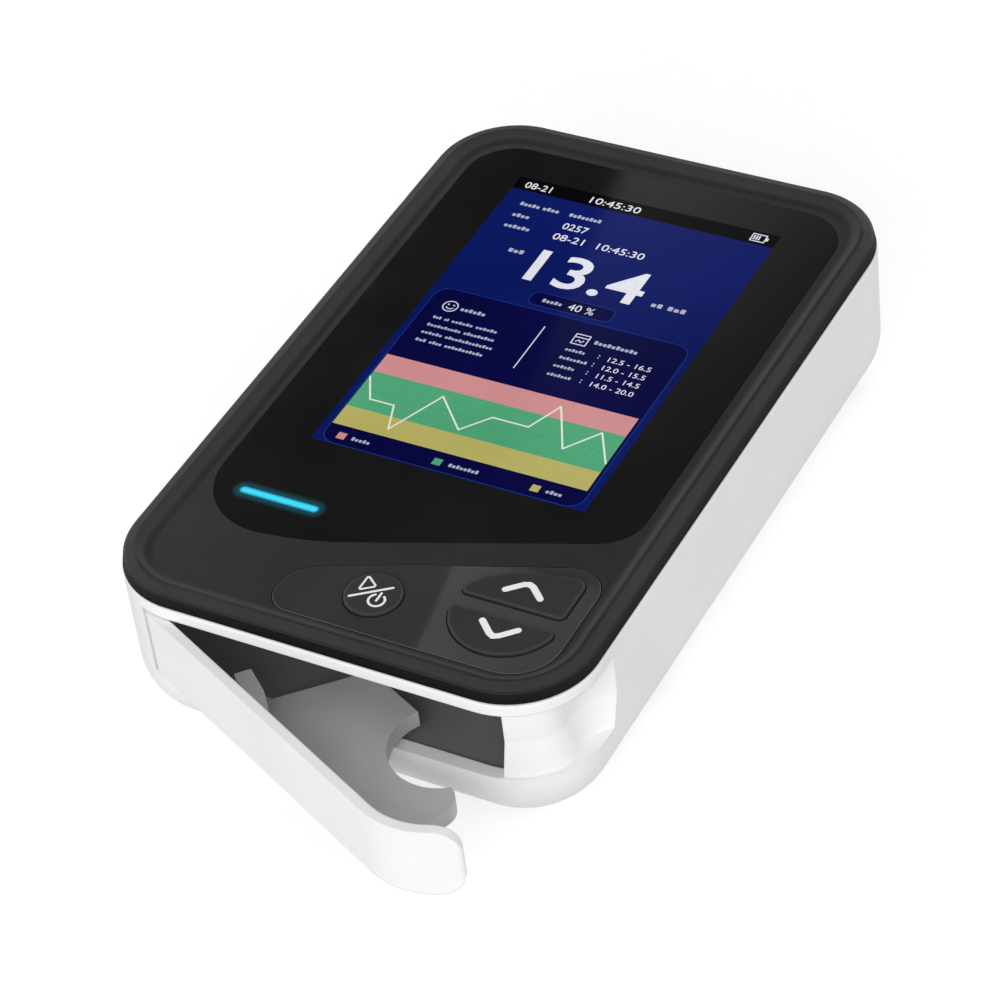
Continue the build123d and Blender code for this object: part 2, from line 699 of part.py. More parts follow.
def detector_housing():
    """The cup below the bay's roof that holds the light sensor."""
    cup = rod(NOTCH_X, OPTICS_Y, DETECTOR_R, DETECTOR_Z, LINER_ROOF_Z)
    cup = chamfer(edges_at(cup, DETECTOR_Z), 0.8)
    floor = DETECTOR_Z + DETECTOR_FLOOR_T
    cup -= rod(NOTCH_X, OPTICS_Y, DETECTOR_R - DETECTOR_WALL, floor, LINER_ROOF_Z + 1)
    return cup - rod(NOTCH_X, OPTICS_Y, LIGHT_BORE_R, DETECTOR_Z - 1, LINER_ROOF_Z)


def detector_board():
    """The sensor on its round board, on the cup's floor."""
    floor = DETECTOR_Z + DETECTOR_FLOOR_T
    radius = DETECTOR_R - DETECTOR_WALL - 0.1
    board = rod(NOTCH_X, OPTICS_Y, radius, floor, floor + SENSOR_BOARD_T)
    board -= rod(NOTCH_X, OPTICS_Y, LIGHT_BORE_R, floor - 1, floor + 2)
    middle = floor + SENSOR_BOARD_T + SENSOR_T / 2
    return board + Pos(NOTCH_X, OPTICS_Y, middle) * Box(SENSOR_W, SENSOR_W, SENSOR_T)


def hinge_pin():
    """The steel pin, dropped in through the lip and held by the cover."""
    pin = rod(HINGE_X, HINGE_Y, PIN_R, pin_bottom() + 0.1, HOUSING_H - 0.1)
    return chamfer(edges_at(pin, pin_bottom() + 0.1), 0.2)


def pull_tip():
    """The middle of the pull's rounded end in plan, and the way that the pull points."""
    corner = (CORNER_X, CORNER_Y)
    last = SCOOP_SWEEP - 90
    start = polar(corner, CORNER_R - DOOR_INSET - DOOR_T / 2, last)
    return polar(start, PULL_LENGTH, SCOOP_SWEEP), SCOOP_SWEEP


def door_plan():
    """The door in plan when shut: straight panel, corner bend and straight pull."""
    corner = (CORNER_X, CORNER_Y)
    outer_r = CORNER_R - DOOR_INSET
    inner_r = outer_r - DOOR_T
    last = SCOOP_SWEEP - 90
    tip, heading = pull_tip()
    half = DOOR_T / 2
    near = polar(tip, half, heading - 90)
    far = polar(tip, half, heading + 90)
    outer = Line((HINGE_X, DOOR_FACE), (CORNER_X, DOOR_FACE))
    outer += arc(corner, outer_r, -90, last)
    outer += Line(polar(corner, outer_r, last), near)
    inner = ThreePointArc(near, polar(tip, half, heading), far)
    inner += Line(far, polar(corner, inner_r, last))
    inner += arc(corner, inner_r, last, -90)
    inner += Polyline((CORNER_X, DOOR_BACK), (HINGE_X, DOOR_BACK), (HINGE_X, DOOR_FACE))
    return make_face(outer + inner)


def corner_cutter(x, z, radius, side_x, side_z, y0, y1):
    """What rounds an upright panel's corner when it is cut away along Y."""
    centre = (x - side_x * radius, z - side_z * radius)
    size = radius + 2
    square = block(
        min(centre[0], centre[0] + side_x * size), max(centre[0], centre[0] + side_x * size),
        y0, y1,
        min(centre[1], centre[1] + side_z * size), max(centre[1], centre[1] + side_z * size),
    )
    drum = Pos(centre[0], (y0 + y1) / 2, centre[1]) * Rot(90, 0, 0) * Cylinder(radius, y1 - y0 + 2)
    return square - drum


def door_shut():
    """The door as it lies when shut."""
    panel = slab(door_plan(), DOOR_Z, DOOR_TOP)
    panel += rod(HINGE_X, HINGE_Y, BARREL_R, DOOR_Z, DOOR_TOP)
    tip, heading = pull_tip()
    along = Pos(*tip) * Rot(0, 0, heading)
    panel -= along * corner_cutter(DOOR_T / 2, DOOR_Z, PULL_LOW_R, 1, -1, -DOOR_T, DOOR_T)
    panel -= along * corner_cutter(DOOR_T / 2, DOOR_TOP, PULL_TOP_R, 1, 1, -DOOR_T, DOOR_T)
    left = HINGE_X - BARREL_R
    panel -= corner_cutter(left, DOOR_Z, DOOR_CORNER_R, -1, -1, FRONT - 3, FRONT + 12)
    wrap = block(OPEN_RIGHT - DOOR_SCOOP_GAP, SIDE + 8, FRONT - 4, FRONT + SCOOP_END, LEDGE_Z, LIP_Z)
    panel -= wrap - scoop_space(DOOR_SCOOP_GAP, LEDGE_Z, LIP_Z + 1)
    boss_length = FLANGE_T - TRAY_BOSS_FIT
    depth_in = DOOR_T - TRAY_SCREW_SKIN
    for x, z in tray_screw_places():
        boss = Rot(90, 0, 0) * Cylinder(TRAY_BOSS_R, boss_length)
        panel += Pos(x, DOOR_BACK + boss_length / 2, z) * boss
        hole = Rot(90, 0, 0) * Cylinder(TRAY_SCREW_R + THREAD_FIT, 2 * FLANGE_T + depth_in)
        panel -= Pos(x, DOOR_BACK + FLANGE_T - depth_in / 2, z) * hole
    return panel - rod(HINGE_X, HINGE_Y, PIN_R + PIN_FIT, 0, HOUSING_H)


def tray_screw_places():
    """The tray's screws in the door: x and z."""
    from_left, right_in = TRAY_SCREW_IN
    return [(x, TRAY_Z + TRAY_SCREW_RISE) for x in (TRAY_LEFT + from_left, TRAY_RIGHT - right_in)]


def tray_face():
    """The tray in plan, with the round notch that clears the optics."""
    front = DOOR_BACK
    back = FRONT + TRAY_BACK
    lobe = FRONT + TRAY_LOBE
    plate = soft_face([
        (TRAY_LEFT, front, TRAY_EDGE_R),
        (TRAY_LEFT + TRAY_SLANT, back, TRAY_CORNER_R),
        (NOTCH_X - NOTCH_R / 2, back, TRAY_EDGE_R),
        (NOTCH_X + NOTCH_R / 2, lobe + TRAY_EDGE_R, TRAY_EDGE_R),
        (TRAY_RIGHT, lobe, LOBE_R),
        (TRAY_RIGHT, front, TRAY_EDGE_R),
    ])
    return plate - Pos(NOTCH_X, OPTICS_Y) * Circle(NOTCH_R)


def tray_shut():
    """The tray as it lies when the door is shut."""
    tray = slab(tray_face(), TRAY_Z, TRAY_TOP)
    left = TRAY_LEFT + FLANGE_LEFT_IN
    right = TRAY_RIGHT - FLANGE_RIGHT_IN
    tray += block(left, right, DOOR_BACK, DOOR_BACK + FLANGE_T, TRAY_Z, TRAY_Z + FLANGE_H)
    guide = soft_face([(TRAY_LEFT + x, FRONT + y, radius) for x, y, radius in GUIDE])
    tray += slab(guide, TRAY_TOP - 0.5, TRAY_TOP + GUIDE_H)
    for x, z in tray_screw_places():
        hole = Cylinder(TRAY_BOSS_R + TRAY_BOSS_FIT, FLANGE_T * 2)
        tray -= Pos(x, DOOR_BACK + FLANGE_T, z) * Rot(90, 0, 0) * hole
    magnet = (MAGNET_X, FRONT + MAGNET_IN)
    return tray - rod(*magnet, MAGNET_R + MAGNET_FIT, TRAY_Z - 1, TRAY_Z + MAGNET_T + 0.1)


def tray_screws_shut():
    """The two screws that hold the tray on the door."""
    screws = []
    for x, z in tray_screw_places():
        face = DOOR_BACK + FLANGE_T
        length = FLANGE_T + DOOR_T - TRAY_SCREW_SKIN - 0.1
        head = Cylinder(TRAY_SCREW_HEAD_R, TRAY_SCREW_HEAD_T)
        head = chamfer(edges_at(head, TRAY_SCREW_HEAD_T / 2), 0.3)
        head = Pos(x, face + TRAY_SCREW_HEAD_T / 2, z) * Rot(-90, 0, 0) * head
        shank = Pos(x, face - length / 2, z) * Rot(90, 0, 0) * Cylinder(TRAY_SCREW_R, length)
        screws.append(head + shank)
    return Compound(children=screws)


def door_magnet_shut():
    """The magnet in the tray's underside."""
    return rod(MAGNET_X, FRONT + MAGNET_IN, MAGNET_R, TRAY_Z, TRAY_Z + MAGNET_T)


def opened(shape):
    """A piece of the door turned out to the open stop."""
    return Pos(HINGE_X, HINGE_Y, 0) * Rot(0, 0, -OPEN_ANGLE) * Pos(-HINGE_X, -HINGE_Y, 0) * shape


def main_board():
    """The main board with its larger chips."""
    board = block(-BOARD_HALF_W, BOARD_HALF_W, BOARD_FRONT, BOARD_REAR, BOARD_Z, BOARD_Z + BOARD_T)
    board = fillet(board.edges().filter_by(Axis.Z), BOARD_CORNER_R)
    for x, from_rear, size in CHIPS:
        board += Pos(x, BOARD_REAR - from_rear, BOARD_Z) * Box(size, size, 2 * CHIP_T)
    for x, y in board_screw_places():
        board -= rod(x, y, SMALL_SCREW_R + SHANK_FIT, BOARD_Z - 1, BOARD_Z + BOARD_T + 1)
    return board


def display_flex():
    """The ribbon from the display's back round to the main board."""
    top = GLASS_Z - WINDOW_T - 0.1 - LCD_T
    foot = BOARD_Z + BOARD_T
    half = (top - foot) / 2
    edge = LCD_FRONT + FLEX_REACH
    reach = edge + FLEX_REACH * 2
    side = FLEX_W / 2
    bend = Cylinder(half, FLEX_W) - Cylinder(half - FLEX_T, FLEX_W)
    roll = Pos(0, edge, foot + half) * Rot(0, 90, 0) * bend
    roll -= block(-side, side, edge, edge + half + 1, foot - 1, top + 1)
    upper = block(-side, side, edge, reach, top - FLEX_T, top)
    return roll + upper + block(-side, side, edge, reach, foot, foot + FLEX_T)


def battery_pack():
    """The rechargeable pack on the housing's floor."""
    middle = Pos(0, REAR - BATTERY_FROM_REAR, FLOOR_T + BATTERY_H / 2)
    pack = middle * Box(2 * (SIDE - BATTERY_IN), BATTERY_L, BATTERY_H)
    return fillet(pack.edges().filter_by(Axis.Y), BATTERY_EDGE_R)


def buzzer():
    """The sounder below the main board."""
    can = rod(*BUZZER_AT, BUZZER_R, BOARD_Z - BUZZER_H, BOARD_Z)
    can = chamfer(edges_at(can, BOARD_Z - BUZZER_H), 0.4)
    return can - rod(*BUZZER_AT, 1.0, BOARD_Z - BUZZER_H - 1, BOARD_Z - BUZZER_H + 1)


def usb_socket():
    """The charging socket: a drawn shell round a flat tongue."""
    shell = extrude(RectangleRounded(USB_W, USB_H, USB_R), USB_L)
    room = RectangleRounded(USB_W - 2 * USB_SHELL, USB_H - 2 * USB_SHELL, USB_R - USB_SHELL)
    shell -= Pos(0, 0, 1.0) * extrude(room, USB_L)
    shell += Pos(0, 0, USB_L / 2 - 0.5) * Box(USB_W - 2.6, 0.7, USB_L - 1.6)
    return Pos(USB_X, REAR - USB_L - 0.4, usb_z() + USB_H / 2) * Rot(-90, 0, 0) * shell


def rubber_feet():
    """Four round feet in their pockets."""
    feet = []
    for x in (-FOOT_X, FOOT_X):
        for y in (-FOOT_Y, FOOT_Y):
            foot = rod(x, y, FOOT_R, -FOOT_PROUD, FOOT_H - FOOT_PROUD)
            feet.append(fillet(edges_at(foot, -FOOT_PROUD), 0.3))
    return Compound(children=feet)


def screw(x, y, seat, radius, length, head_r, head_t, up):
    """A screw with its head under or over a seat; up is 1 when it points up."""
    head = rod(x, y, head_r, *sorted((seat, seat - up * head_t)))
    head = chamfer(edges_at(head, seat - up * head_t), head_t * 0.25)
    head -= rod(x, y, head_r * 0.45, *sorted((seat - up * head_t * 0.45, seat - up * head_t * 1.5)))
    return head + rod(x, y, radius, *sorted((seat, seat + up * length)))


def housing_screws():
    """Four screws from below, up into the cover's posts."""
    seat = TOWER_TOP - SCREW_SEAT_T
    length = SCREW_SEAT_T + SCREW_BITE
    places = [(x, y) for x in (-TOWER_X, TOWER_X) for y in TOWER_Y]
    return Compound(children=[
        screw(x, y, seat, SCREW_R, length, SCREW_HEAD_R, SCREW_HEAD_T, 1) for x, y in places
    ])


def small_screws(places, seat, thickness):
    """Small screws driven down through a plate into posts."""
    length = thickness + SMALL_SCREW_BITE - 0.3
    return Compound(children=[
        screw(x, y, seat, SMALL_SCREW_R, length, SMALL_HEAD_R, SMALL_HEAD_T, -1) for x, y in places
    ])


def build():
    """Every node of the analyzer by name."""
    board_top = BOARD_Z + BOARD_T
    return {
        "lower_housing": lower_housing(),
        "top_cover": top_cover(),
        "display_window": display_window(),
        "lcd_module": lcd_module(),
        "led_light_bar": led_light_bar(),
        "keypad_panel": keypad_panel(),
        "power_button": key_cap(power_face),
        "up_button": key_cap(up_face),
        "down_button": key_cap(down_face),
        "tact_switches": tact_switches(),
        "button_board": button_board(),
        "status_leds": status_leds(),
        "bay_liner": bay_liner(),
        "catch_magnet": catch_magnet(),
        "optics_base": optics_base(),
        "emitter_led": emitter_led(),
        "optics_lens": optics_lens(),
        "detector_housing": detector_housing(),
        "detector_board": detector_board(),
        "hinge_pin": hinge_pin(),
        "door_panel": opened(door_shut()),
        "cuvette_tray": opened(tray_shut()),
        "tray_screws": opened(tray_screws_shut()),
        "door_magnet": opened(door_magnet_shut()),
        "main_board": main_board(),
        "display_flex": display_flex(),
        "battery_pack": battery_pack(),
        "buzzer": buzzer(),
        "usb_socket": usb_socket(),
        "rubber_feet": rubber_feet(),
        "housing_screws": housing_screws(),
        "board_screws": small_screws(board_screw_places(), board_top, BOARD_T),
        "bay_screws": small_screws(bay_screw_places(), LINER_FLOOR, LINER_T),
    }


os.makedirs("parts", exist_ok=True)
for name, shape in build().items():
    export_step(shape, f"parts/{name}.step")
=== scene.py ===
"""Looks of the handheld blood analyzer: finishes, the lit screen, key marks and the studio."""
from math import atan2, cos, pi, radians, sin

import bmesh
import bpy
from mathutils import Matrix, Vector


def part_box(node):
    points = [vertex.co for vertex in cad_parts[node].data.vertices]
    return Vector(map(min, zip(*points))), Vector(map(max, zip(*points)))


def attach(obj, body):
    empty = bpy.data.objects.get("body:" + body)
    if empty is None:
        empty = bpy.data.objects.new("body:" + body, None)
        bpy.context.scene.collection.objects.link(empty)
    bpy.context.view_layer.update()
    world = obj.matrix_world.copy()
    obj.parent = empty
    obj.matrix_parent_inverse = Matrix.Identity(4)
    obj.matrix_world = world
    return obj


MM = 0.001

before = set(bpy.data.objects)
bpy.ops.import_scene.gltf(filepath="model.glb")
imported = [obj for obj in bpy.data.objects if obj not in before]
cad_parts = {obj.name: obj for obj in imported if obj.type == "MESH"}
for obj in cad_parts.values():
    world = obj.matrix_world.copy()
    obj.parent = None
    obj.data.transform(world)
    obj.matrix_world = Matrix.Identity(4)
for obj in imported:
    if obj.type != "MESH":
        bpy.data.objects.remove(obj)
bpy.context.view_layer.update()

# Camera: its place and turn, found from the edges of the body in the photograph
CAMERA_AT = (238.27, -380.71, 401.36)
CAMERA_YAW = 32.588
CAMERA_PITCH = 41.381
CAMERA_ROLL = -7.590
CAMERA_LENS = 130.71
SENSOR_WIDTH = 36.0

# Painted shade on a moulded side: the share of the tone that is left at its foot and on upright faces
SHADOW_TONE = 0.03
UPRIGHT_SHADE_TONE = 0.1
# How far up a normal points on faces that count as upright and as level
UPRIGHT_NORMAL = 0.3
LEVEL_NORMAL = 0.93
# Roughness in the deepest painted shade, and the share of the tone from which the gloss is whole again
SHADED_ROUGHNESS = 0.9
SHADE_ENDS = 0.7
# Heights between which the painted shade on the cover's side fades, from dark at the seam
COVER_SHADE = (28.2, 29.35)

# Radians that a wave texture of scale 1 runs through in one unit
WAVE_RADIANS = 20

# Studio: floor, lights and flag in metres, cards in millimetres
FLOOR_REACH = 3.0
WORLD_ON_OBJECT = 0.5
FLOOR_LIFT = 0.68
KEY_LIGHT_AT = (0.24, -0.87, 0.42)
KEY_LIGHT_POWER = 6.6
SIDE_LIGHT_AT = (0.72, 0.6, 0.2)
SIDE_LIGHT_POWER = 2.2
LIGHT_SIZE = 0.7
FLAG_PLACES = ((-0.8, 0.2), (-0.05, 0.85))
FLAG_TOP = 0.14
CARD_HEIGHT = 401.0
# Two places on the border between the dark card and the grey ones
CARD_EDGE = ((-255.6, 497.3), (-208.9, 263.2))
CARD_LEFT = -318.0
CARD_RIGHT = -60.0
CARD_NEAR = 150.0
CARD_SPLIT = 305.0
CARD_FAR = 640.0
FAR_CARD_LIGHT = 0.46
FAR_CARD_FADES = ((-235.0, -150.0), (500.0, 330.0))
NEAR_CARD_LIGHT = 0.42
NEAR_CARD_FADE = (-212.0, -130.0)

# Layers of the lit picture, above the window's face
SUNK = -0.01
FIELD_LAYER = 0.01
EDGE_LAYER = 0.02
PANEL_LAYER = 0.03
MARK_LAYER = 0.04
LINE_LAYER = 0.05

# Print on the keys: how far it stands up and how deep it reaches
PRINT_T = 0.03
PRINT_SUNK = 0.02

# Drawn lines: the height between neighbours, and the steps round an end
STEP_UP = 0.002
ROUND_STEPS = 8

# Screen picture: places from the screen's centre, x to the right and y to the top
SCREEN_W = 48.96
SCREEN_L = 73.44
DOTS_ACROSS = 320
DOTS_DRAWN_AS_ONE = 4
BAR_LOW = 33.4
THIN_LINE = 0.2
FIGURE_H = 1.65
# Panels: left, right, foot, top and corner of each, and the width of the edge round them
PANELS = ((-23.15, 23.15, -36.45, 4.9, 2.55), (-7.65, 7.4, 6.1, 9.3, 1.15))
PANEL_EDGE = 0.15
# Blocks that stand for letters: all but the filled share of the pitch are shares of a height
LETTER_W = 0.9
LETTER_FILL = 0.74
LETTER_CORNER = 0.16
LETTER_HEIGHTS = (1.0, 0.72, 0.74, 0.95, 0.72)
# Chart: field, bands, squares of the legend, dashes along the middle, and curve
CHART_LEFT = -23.0
CHART_RIGHT = 22.65
CHART_LEVELS = (-32.2, -27.55, -18.5, -13.85)
CHART_MIDDLE = -23.1
LEGEND_LOW = -35.3
LEGEND_SIDE = 1.5
DASHES = 30
DASH_START = 0.4
DASH_PITCH = 1.52
DASH_L = 0.9
DASH_HALF_W = 0.06
CHART_CURVE = [
    (-22.9, -19.9), (-20.1, -24.95), (-15.7, -24.95), (-13.75, -30.4), (-9.25, -20.15), (-3.1, -26.5),
    (0.65, -21.9), (7.1, -21.9), (9.75, -15.6), (14.55, -24.65), (18.75, -19.0), (22.5, -25.4),
]


def tint(code):
    """A written sRGB colour as the linear colour that Blender takes."""
    parts = [int(code[i:i + 2], 16) / 255 for i in (1, 3, 5)]
    return [v / 12.92 if v <= 0.04045 else ((v + 0.055) / 1.055) ** 2.4 for v in parts] + [1.0]


def per_mm(size):
    """The scale of a pattern whose grain is this many millimetres."""
    return 1 / (size * MM)


def add(tree, kind, inputs=None, **settings):
    """One node: its own settings, and its sockets set to values or linked."""
    item = tree.nodes.new(kind)
    for field, value in settings.items():
        setattr(item, field, value)
    for socket, value in (inputs or {}).items():
        if isinstance(value, bpy.types.NodeSocket):
            tree.links.new(value, item.inputs[socket])
        else:
            item.inputs[socket].default_value = value
    return item


def shade(tree, value, deep, pale, low=0.35, high=0.65):
    """A colour that drifts between two as a pattern rises."""
    ramp = add(tree, "ShaderNodeValToRGB", {"Fac": value})
    ramp.color_ramp.elements[0].position = low
    ramp.color_ramp.elements[1].position = high
    ramp.color_ramp.elements[0].color = tint(deep)
    ramp.color_ramp.elements[1].color = tint(pale)
    return ramp.outputs["Color"]


def finish(name):
    """An empty material with its tree, object coordinates and surface shader."""
    material = bpy.data.materials.new(name)
    material.use_nodes = True
    tree = material.node_tree
    tree.nodes.clear()
    place = add(tree, "ShaderNodeTexCoord").outputs["Object"]
    shader = add(tree, "ShaderNodeBsdfPrincipled")
    add(tree, "ShaderNodeOutputMaterial", {"Surface": shader.outputs["BSDF"]})
    return material, tree, place, shader


def moulded(name, deep, pale, grain, relief, rough,
            specular=0.5, edge=0.12, cloud=14.0, shadow=None, glow=0.0):
    """Moulded plastic: slow tone drift, an eroded grain, and edges that catch light.

    shadow gives two heights in millimetres between which a painted shade fades, the tone rising
    out of black; the painted shade darkens upright faces too, and the gloss is dulled where it
    is dark. glow is a painted glow: the tone shines as an emission, standing in for the light
    that a deep hollow passes between its walls.
    """
    material, tree, place, shader = finish(name)
    drift = add(tree, "ShaderNodeTexNoise", {"Vector": place, "Scale": per_mm(cloud), "Detail": 2.0})
    spark = add(tree, "ShaderNodeTexNoise", {"Vector": place, "Scale": per_mm(grain), "Detail": 3.0})
    polish = add(tree, "ShaderNodeMapRange", {
        "Value": spark.outputs["Fac"], "From Min": 0.3, "From Max": 0.7,
        "To Min": rough[0], "To Max": rough[1],
    })
    soft_edge = add(tree, "ShaderNodeBevel", {"Radius": edge * MM}, samples=4)
    grain_bump = add(tree, "ShaderNodeBump", {
        "Height": spark.outputs["Fac"], "Distance": relief * MM, "Strength": 0.6,
        "Normal": soft_edge.outputs["Normal"],
    })
    tone = shade(tree, drift.outputs["Fac"], deep, pale)
    # Painted shade: the tone darkens towards the foot of the side and on upright faces
    if shadow:
        height = add(tree, "ShaderNodeSeparateXYZ", {"Vector": place}).outputs["Z"]
        rise = add(tree, "ShaderNodeMapRange", {
            "Value": height, "From Min": shadow[0] * MM, "From Max": shadow[1] * MM,
            "To Min": SHADOW_TONE,
        }).outputs["Result"]
        normal = add(tree, "ShaderNodeNewGeometry").outputs["Normal"]
        upward = add(tree, "ShaderNodeSeparateXYZ", {"Vector": normal}).outputs["Z"]
        turned_up = add(tree, "ShaderNodeMapRange", {
            "Value": upward, "From Min": UPRIGHT_NORMAL, "From Max": LEVEL_NORMAL,
            "To Min": UPRIGHT_SHADE_TONE,
        }).outputs["Result"]
        rise = add(tree, "ShaderNodeMath", {0: rise, 1: turned_up}, operation="MULTIPLY").outputs[0]
        painted_shade = add(tree, "ShaderNodeVectorMath", {0: tone, "Scale": rise}, operation="SCALE")
        tone = painted_shade.outputs["Vector"]
        polish = add(tree, "ShaderNodeMapRange", {
            "Value": rise, "From Max": SHADE_ENDS,
            "To Min": SHADED_ROUGHNESS, "To Max": polish.outputs["Result"],
        })
    shader.inputs["Specular IOR Level"].default_value = specular
    tree.links.new(tone, shader.inputs["Base Color"])
    # When glow is given the tone also shines as an emission: a painted glow, not a lamp
    tree.links.new(tone, shader.inputs["Emission Color"])
    shader.inputs["Emission Strength"].default_value = glow
    tree.links.new(polish.outputs["Result"], shader.inputs["Roughness"])
    tree.links.new(grain_bump.outputs["Normal"], shader.inputs["Normal"])
    return material


# Finishes, one for each material of the object
def white_shell_abs():
    # White ABS from a fine-spark mould: even and slightly soft, with a faint drift of tone
    return moulded("white_abs_fine_spark", "#f0f0ef", "#f4f4f4", 0.5, 0.012, (0.34, 0.46), edge=0.3)


def black_cover_abs():
    # Black ABS, satin: a sheen on the rolled rim, and a painted shade that darkens its side towards the
    # seam and on upright faces
    return moulded("black_abs_satin", "#272727", "#2b2b2b", 0.4, 0.005, (0.28, 0.34), 0.27, 0.1,
                   shadow=COVER_SHADE)


def key_panel_pc():
    # Hard-coated polycarbonate: smoother than the cover, so the card's edge shows in it
    return moulded("black_polycarbonate_panel", "#3c3c3c", "#404040", 0.6, 0.001, (0.02, 0.04),
                   0.7, 0.08)


def key_abs():
    # Black ABS keys, satin on top and slightly darker than their panel
    return moulded("black_abs_keys", "#262626", "#2a2a2a", 0.4, 0.01, (0.3, 0.4), 0.4, 0.12)


def tray_abs():
    # Mid-grey ABS: flat and even, with pale edges
    return moulded("grey_abs_tray", "#bababa", "#c2c2c2", 0.4, 0.012, (0.4, 0.52), 0.5, 0.15)


def bay_abs():
    # Dark grey ABS inside the measuring bay: dull, to swallow stray light, with a painted glow that
    # stands in for the light bounced between its walls
    return moulded("dark_grey_abs_bay", "#6c6c6c", "#747474", 0.35, 0.02, (0.55, 0.7), 0.3, 0.15,
                   glow=0.07)


def rubber():
    # Moulded rubber feet: matt, with a slightly dusty bloom
    return moulded("black_rubber_feet", "#1b1b1b", "#262626", 0.3, 0.03, (0.7, 0.85), 0.25, 0.1, 3.0)


def battery_sleeve():
    # PVC shrink sleeve of the battery: soft gloss with fine creases
    return moulded("blue_pvc_sleeve", "#27476b", "#2f5580", 2.5, 0.08, (0.25, 0.4), 0.5, 0.2, 20.0)


def ribbon_film():
    # Polyimide film of the display's ribbon: amber and smooth
    return moulded("amber_polyimide_ribbon", "#a5661d", "#b87828", 0.8, 0.004, (0.2, 0.3),
                   0.5, 0.02, 5.0)


def from_light_bar(tree, place):
    """How far a place lies from the middle line of the status light, in millimetres."""
    low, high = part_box("led_light_bar")
    centre = (low + high) / 2
    flange = (high - low).y / 2
    reach = (high - low).x / 2 - flange
    moved = add(tree, "ShaderNodeVectorMath", {0: place, 1: (-centre.x, -centre.y, 0.0)})
    parts = add(tree, "ShaderNodeSeparateXYZ", {"Vector": moved.outputs["Vector"]})
    aside = add(tree, "ShaderNodeMath", {0: parts.outputs["X"]}, operation="ABSOLUTE")
    past = add(tree, "ShaderNodeMath", {0: aside.outputs[0], 1: reach}, operation="SUBTRACT")
    beyond = add(tree, "ShaderNodeMath", {0: past.outputs[0], 1: 0.0}, operation="MAXIMUM")
    flat = add(tree, "ShaderNodeCombineXYZ", {"X": beyond.outputs[0], "Y": parts.outputs["Y"]})
    length = add(tree, "ShaderNodeVectorMath", {0: flat.outputs["Vector"]}, operation="LENGTH")
    away = add(tree, "ShaderNodeMath", {0: length.outputs["Value"], 1: 1 / MM}, operation="MULTIPLY")
    return away.outputs[0]


def window_glass():
    # Glass printed black on its back: it mirrors the studio, with a painted cyan glow round the status
    # light
    material, tree, place, shader = finish("black_printed_glass")
    drift = add(tree, "ShaderNodeTexNoise", {"Vector": place, "Scale": per_mm(22.0), "Detail": 1.0})
    smear = add(tree, "ShaderNodeTexNoise", {"Vector": place, "Scale": per_mm(6.0), "Detail": 4.0})
    polish = add(tree, "ShaderNodeMapRange", {
        "Value": smear.outputs["Fac"], "To Min": 0.03, "To Max": 0.09,
    })
    # Painted glow: the glass itself shines cyan close to the status light
    painted_halo = add(tree, "ShaderNodeMapRange", {
        "Value": from_light_bar(tree, place), "From Min": 0.8, "From Max": 2.4,
        "To Min": 0.12, "To Max": 0.0,
    }, interpolation_type="SMOOTHERSTEP")
    tree.links.new(shade(tree, drift.outputs["Fac"], "#1b1b1b", "#1f1f1f"), shader.inputs["Base Color"])
    tree.links.new(polish.outputs["Result"], shader.inputs["Roughness"])
    tree.links.new(painted_halo.outputs["Result"], shader.inputs["Emission Strength"])
    shader.inputs["Emission Color"].default_value = tint("#1fb6d8")
    shader.inputs["IOR"].default_value = 1.5
    return material


def light_pipe():
    # Lit acrylic light pipe: bright cyan along its middle, fading to a dark edge
    material, tree, place, shader = finish("cyan_acrylic_light_pipe")
    edge = add(tree, "ShaderNodeMapRange", {
        "Value": from_light_bar(tree, place), "From Min": 0.3, "From Max": 0.75,
        "To Min": 1.0, "To Max": 0.0,
    })
    ripple = add(tree, "ShaderNodeTexNoise", {"Vector": place, "Scale": per_mm(0.9), "Detail": 2.0})
    bump = add(tree, "ShaderNodeBump", {"Height": ripple.outputs["Fac"], "Distance": 0.01 * MM})
    glow = shade(tree, edge.outputs["Result"], "#0a5468", "#2bd0ee", 0.0, 1.0)
    tree.links.new(glow, shader.inputs["Emission Color"])
    tree.links.new(bump.outputs["Normal"], shader.inputs["Normal"])
    shader.inputs["Base Color"].default_value = tint("#0b5f74")
    shader.inputs["Emission Strength"].default_value = 1.0
    shader.inputs["Roughness"].default_value = 0.3
    return material


def turned_metal(name, deep, pale, radian, rough):
    """Turned or plated metal: rings of the tool and a little tone drift.

    radian is how many millimetres one radian of the rings' wave takes, so that the rings
    stand 2 pi times as far apart.
    """
    material, tree, place, shader = finish(name)
    drift = add(tree, "ShaderNodeTexNoise", {"Vector": place, "Scale": per_mm(2.0), "Detail": 3.0})
    rings = add(tree, "ShaderNodeTexWave", {
        "Vector": place, "Scale": per_mm(radian * WAVE_RADIANS), "Distortion": 1.5,
    }, bands_direction="Z")
    bump = add(tree, "ShaderNodeBump", {
        "Height": rings.outputs["Fac"], "Distance": 0.01 * MM, "Strength": 0.5,
    })
    tree.links.new(shade(tree, drift.outputs["Fac"], deep, pale), shader.inputs["Base Color"])
    tree.links.new(bump.outputs["Normal"], shader.inputs["Normal"])
    shader.inputs["Metallic"].default_value = 1.0
    shader.inputs["Roughness"].default_value = rough
    return material


def steel():
    # Turned stainless steel: bright, with fine tool rings
    return turned_metal("turned_stainless_steel", "#a9abad", "#c4c6c8", 0.12, 0.28)


def nickel():
    # Nickel-plated magnet: a warm mirror, slightly hazy
    return turned_metal("nickel_plate", "#b5aea2", "#c9c2b6", 0.3, 0.18)


def can_metal():
    # Pressed dark tinplate, for the display's back and the switches: dull and grey
    return turned_metal("pressed_dark_tinplate", "#5c5f62", "#74777a", 0.5, 0.4)


